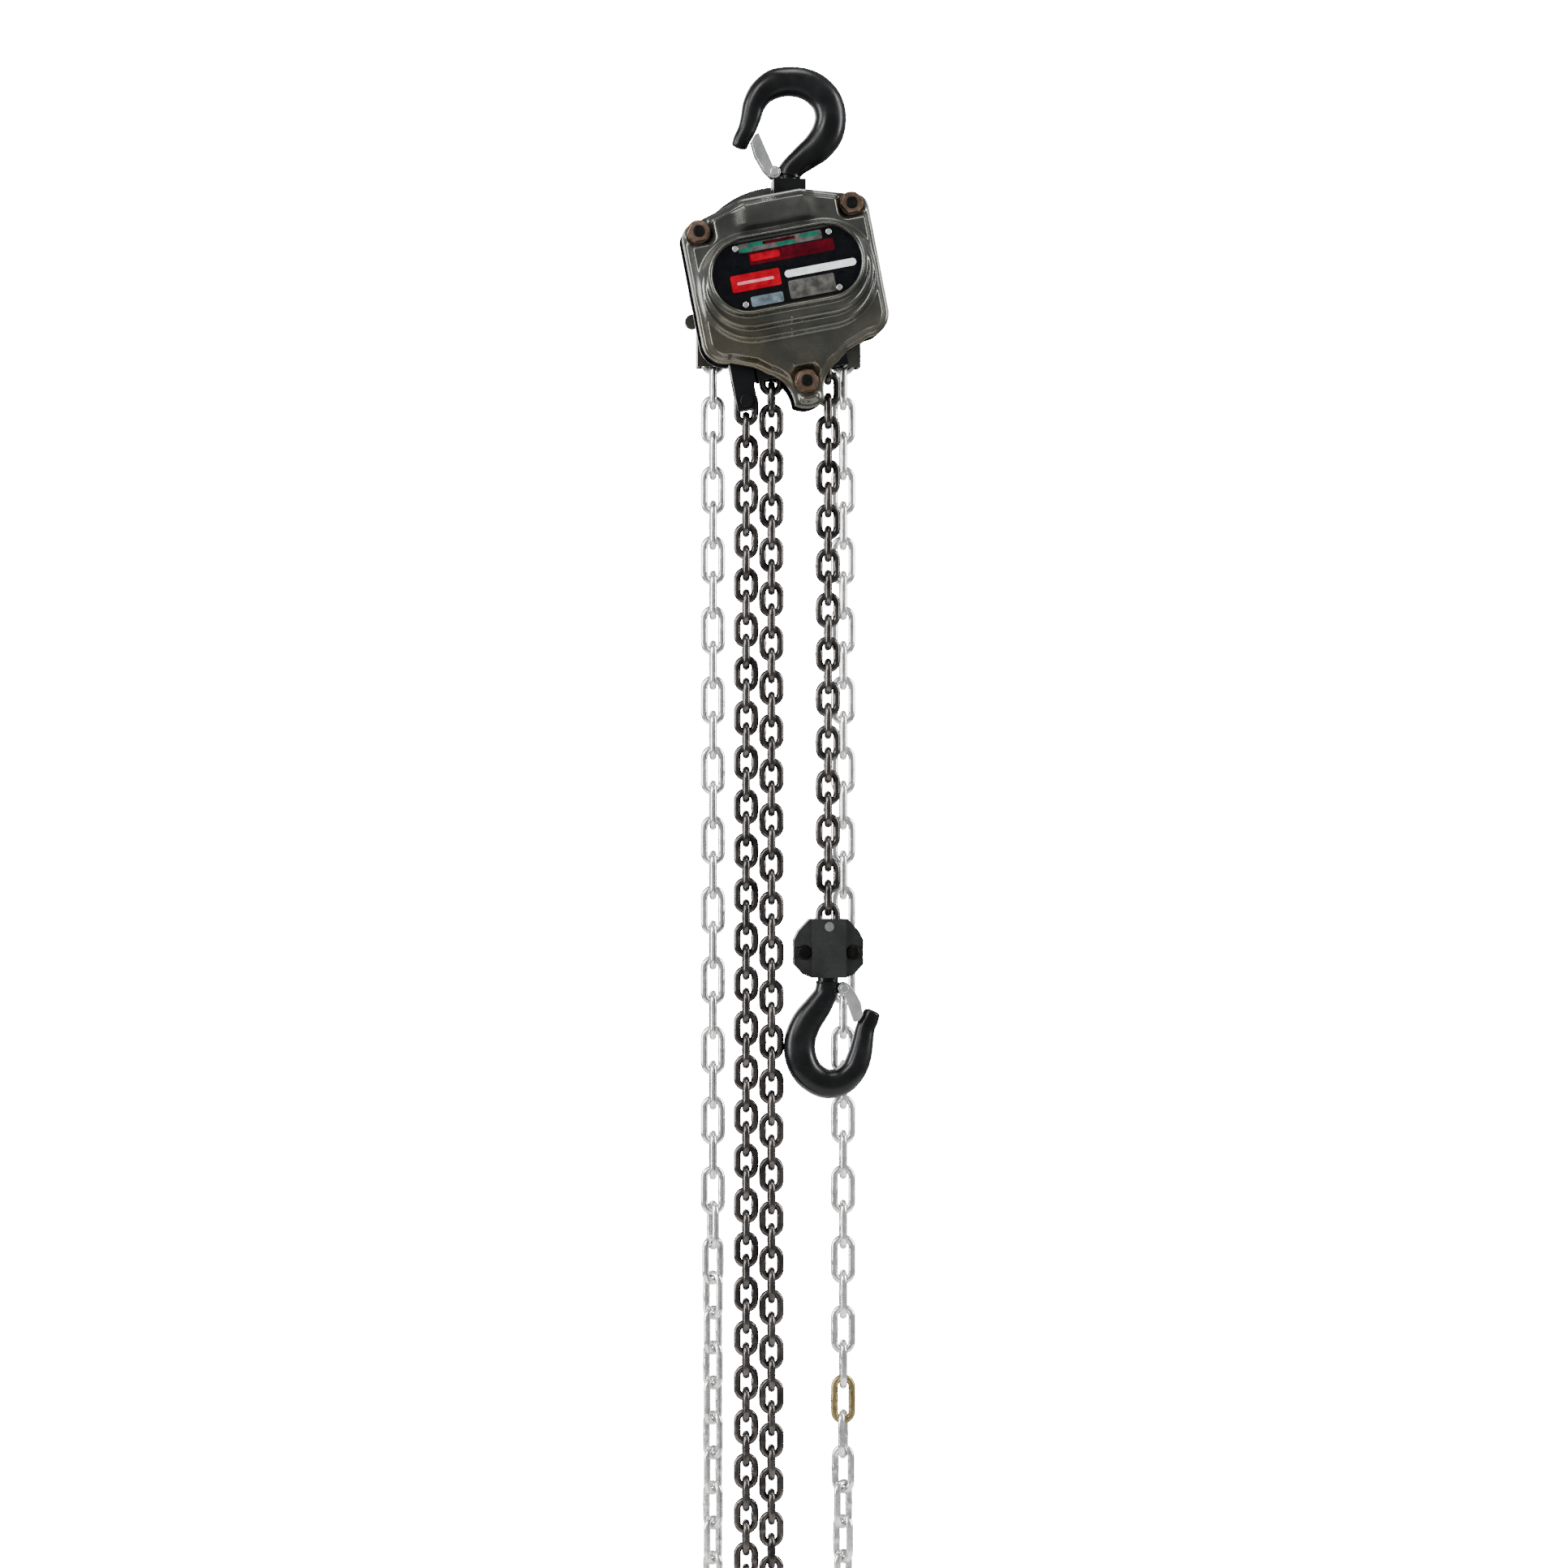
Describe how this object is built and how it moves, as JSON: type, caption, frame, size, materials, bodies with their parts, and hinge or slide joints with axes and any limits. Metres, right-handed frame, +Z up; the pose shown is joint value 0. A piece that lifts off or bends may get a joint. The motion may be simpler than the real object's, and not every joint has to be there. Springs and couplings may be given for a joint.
{
  "type": "chain hoist",
  "caption": "Hand chain hoist hung by a latched swivel hook, with reduction gear case, load chain with hook block and latched bottom hook, slack loop and endless hand chain.",
  "frame": {"origin": "the inner top of the top hook's bowl, in the middle of the hook's thickness, where the hook rests on what carries it", "axes": "+Z up along the hook's shank, +X to the right seen from the gear case, +Y from the gear case towards the hand wheel"},
  "size_m": [0.1398, 0.1124, 1.08],
  "materials": {
    "black_paint": "semi-gloss black enamel on forged steel",
    "cover_paint": "semi-gloss warm grey enamel on pressed steel",
    "dark_steel": "blackened heat-treated steel, lightly oiled",
    "bright_steel": "machined steel",
    "zinc": "bright zinc plate",
    "yellow_zinc": "yellow passivated zinc plate",
    "load_chain": "blackened case-hardened chain",
    "bronze": "bearing bronze",
    "friction": "woven friction lining",
    "gasket": "fibre gasket",
    "plate_print": "black printed aluminium plate",
    "olive_zinc": "olive chromate"
  },
  "bodies": {
    "top_hook": {"top_hook": "black_paint", "top_latch_spring": "bright_steel", "top_latch_rivet": "zinc", "top_thrust_washer": "bronze", "top_hook_nut": "bright_steel"},
    "top_latch": {"top_latch": "zinc"},
    "yoke": {"top_yoke": "black_paint"},
    "hoist_body": {"suspension_pin": "bright_steel", "gear_side_plate": "dark_steel", "wheel_side_plate": "dark_steel", "stay_bolts": "dark_steel", "gear_side_nuts": "yellow_zinc", "wheel_side_nuts": "yellow_zinc", "gear_case": "cover_paint", "gear_case_gasket": "gasket", "nameplate": "plate_print", "nameplate_rivets": "zinc", "sheave_bearings": "bright_steel", "disc_gear_bushes": "bronze", "chain_guide": "black_paint", "chain_stripper": "bright_steel", "dead_end_pin": "black_paint", "ratchet_disc": "dark_steel", "pawl_pins": "bright_steel", "pawl_springs": "bright_steel", "brake_cover": "cover_paint", "wheel_cover": "cover_paint", "load_chain_in_body": "load_chain", "hand_chain_on_wheel": "zinc"},
    "load_drum": {"load_sheave": "bright_steel", "load_gear": "dark_steel", "load_gear_clip": "bright_steel"},
    "disc_gear_left": {"disc_gear_left": "dark_steel"},
    "disc_gear_right": {"disc_gear_right": "dark_steel"},
    "hand_wheel_shaft": {"drive_shaft": "bright_steel", "hand_wheel": "dark_steel", "wheel_nut": "bright_steel", "split_pin": "zinc", "friction_hub": "bright_steel", "friction_discs": "friction"},
    "pawl_left": {"pawl_left": "bright_steel"},
    "pawl_right": {"pawl_right": "bright_steel"},
    "load_line": {"load_chain_run": "load_chain"},
    "slack_loop": {"load_chain_slack_loop": "load_chain"},
    "hand_loop": {"hand_chain_loop": "zinc", "hand_chain_join_link": "olive_zinc"},
    "hook_block": {"block_half_front": "black_paint", "block_half_rear": "black_paint", "block_bolts": "dark_steel", "block_nuts": "dark_steel", "block_chain_pin": "bright_steel", "block_thrust_bearing": "bright_steel"},
    "bottom_hook": {"bottom_hook": "black_paint", "bottom_hook_nut": "bright_steel", "bottom_latch_rivet": "zinc", "bottom_latch_spring": "bright_steel"},
    "bottom_latch": {"bottom_latch": "zinc"}
  },
  "joints": [
    {"name": "top_latch_turn", "type": "hinge", "parent": "top_hook", "child": "top_latch", "pos_m": [-0.01, 0, -0.052], "axis": [0, 1, 0], "range_deg": [0, 35], "stiffness_Nm_per_rad": 0.03, "springref_deg": -20.05},
    {"name": "yoke_swivel", "type": "hinge", "parent": "top_hook", "child": "yoke", "pos_m": [0, 0, -0.06], "axis": [0, 0, 1], "continuous": true},
    {"name": "body_tilt", "type": "hinge", "parent": "yoke", "child": "hoist_body", "pos_m": [-0.00003, 0, -0.07698], "axis": [0, 1, 0], "range_deg": [-12, 20], "deforming": ["load_chain_run", "load_chain_slack_loop", "hand_chain_loop", "hand_chain_join_link"]},
    {"name": "load_line_swing", "type": "hinge", "parent": "hoist_body", "child": "load_line", "pos_m": [0.02689, 0, -0.17566], "axis": [0, 1, 0], "range_deg": [-20, 12]},
    {"name": "slack_loop_swing", "type": "hinge", "parent": "hoist_body", "child": "slack_loop", "pos_m": [-0.01159, 0, -0.18314], "axis": [0, 1, 0], "range_deg": [-20, 12]},
    {"name": "hand_loop_swing", "type": "hinge", "parent": "hoist_body", "child": "hand_loop", "pos_m": [-0.0038, 0.047, -0.1205], "axis": [0, 1, 0], "range_deg": [-20, 12]},
    {"name": "hand_wheel_turn", "type": "hinge", "parent": "hoist_body", "child": "hand_wheel_shaft", "pos_m": [-0.0038, 0, -0.1205], "axis": [0, 1, 0], "range_deg": [-10098, 0], "deforming": ["load_chain_in_body", "hand_chain_on_wheel"]},
    {"name": "disc_gear_left_turn", "type": "hinge", "parent": "hoist_body", "child": "disc_gear_left", "pos_m": [-0.03202, 0, -0.12599], "axis": [0, 1, 0], "range_deg": [0, 2806]},
    {"name": "disc_gear_right_turn", "type": "hinge", "parent": "hoist_body", "child": "disc_gear_right", "pos_m": [0.02442, 0, -0.11501], "axis": [0, 1, 0], "range_deg": [0, 2806]},
    {"name": "load_sheave_turn", "type": "hinge", "parent": "hoist_body", "child": "load_drum", "pos_m": [-0.0038, 0, -0.1205], "axis": [0, 1, 0], "range_deg": [-991, 0]},
    {"name": "hook_lift", "type": "slide", "parent": "load_line", "child": "hook_block", "axis": [0, 0, 1], "range_m": [0, 0.3302], "deforming": ["load_chain_run"]},
    {"name": "bottom_hook_swivel", "type": "hinge", "parent": "hook_block", "child": "bottom_hook", "pos_m": [0.02689, 0, -0.592], "axis": [0, 0, 1], "continuous": true},
    {"name": "bottom_latch_turn", "type": "hinge", "parent": "bottom_hook", "child": "bottom_latch", "pos_m": [0.0375, 0, -0.6045], "axis": [0, 1, 0], "range_deg": [0, 35], "stiffness_Nm_per_rad": 0.03, "springref_deg": -20.05},
    {"name": "pawl_left_turn", "type": "hinge", "parent": "hoist_body", "child": "pawl_left", "pos_m": [-0.03859, 0.027, -0.13541], "axis": [0, 1, 0], "range_deg": [-14, 0], "stiffness_Nm_per_rad": 0.02, "springref_deg": 17.19},
    {"name": "pawl_right_turn", "type": "hinge", "parent": "hoist_body", "child": "pawl_right", "pos_m": [0.03099, 0.027, -0.10559], "axis": [0, 1, 0], "range_deg": [-14, 0], "stiffness_Nm_per_rad": 0.02, "springref_deg": 17.19}
  ],
  "couplings": [
    {"joint": "load_line_swing", "follows": "body_tilt", "ratio": -1},
    {"joint": "slack_loop_swing", "follows": "body_tilt", "ratio": -1},
    {"joint": "hand_loop_swing", "follows": "body_tilt", "ratio": -1},
    {"joint": "disc_gear_left_turn", "follows": "hand_wheel_turn", "ratio": -0.27778},
    {"joint": "disc_gear_right_turn", "follows": "hand_wheel_turn", "ratio": -0.27778},
    {"joint": "load_sheave_turn", "follows": "hand_wheel_turn", "ratio": 0.098039},
    {"joint": "hook_lift", "follows": "hand_wheel_turn", "m_per_rad": -0.0018724}
  ]
}
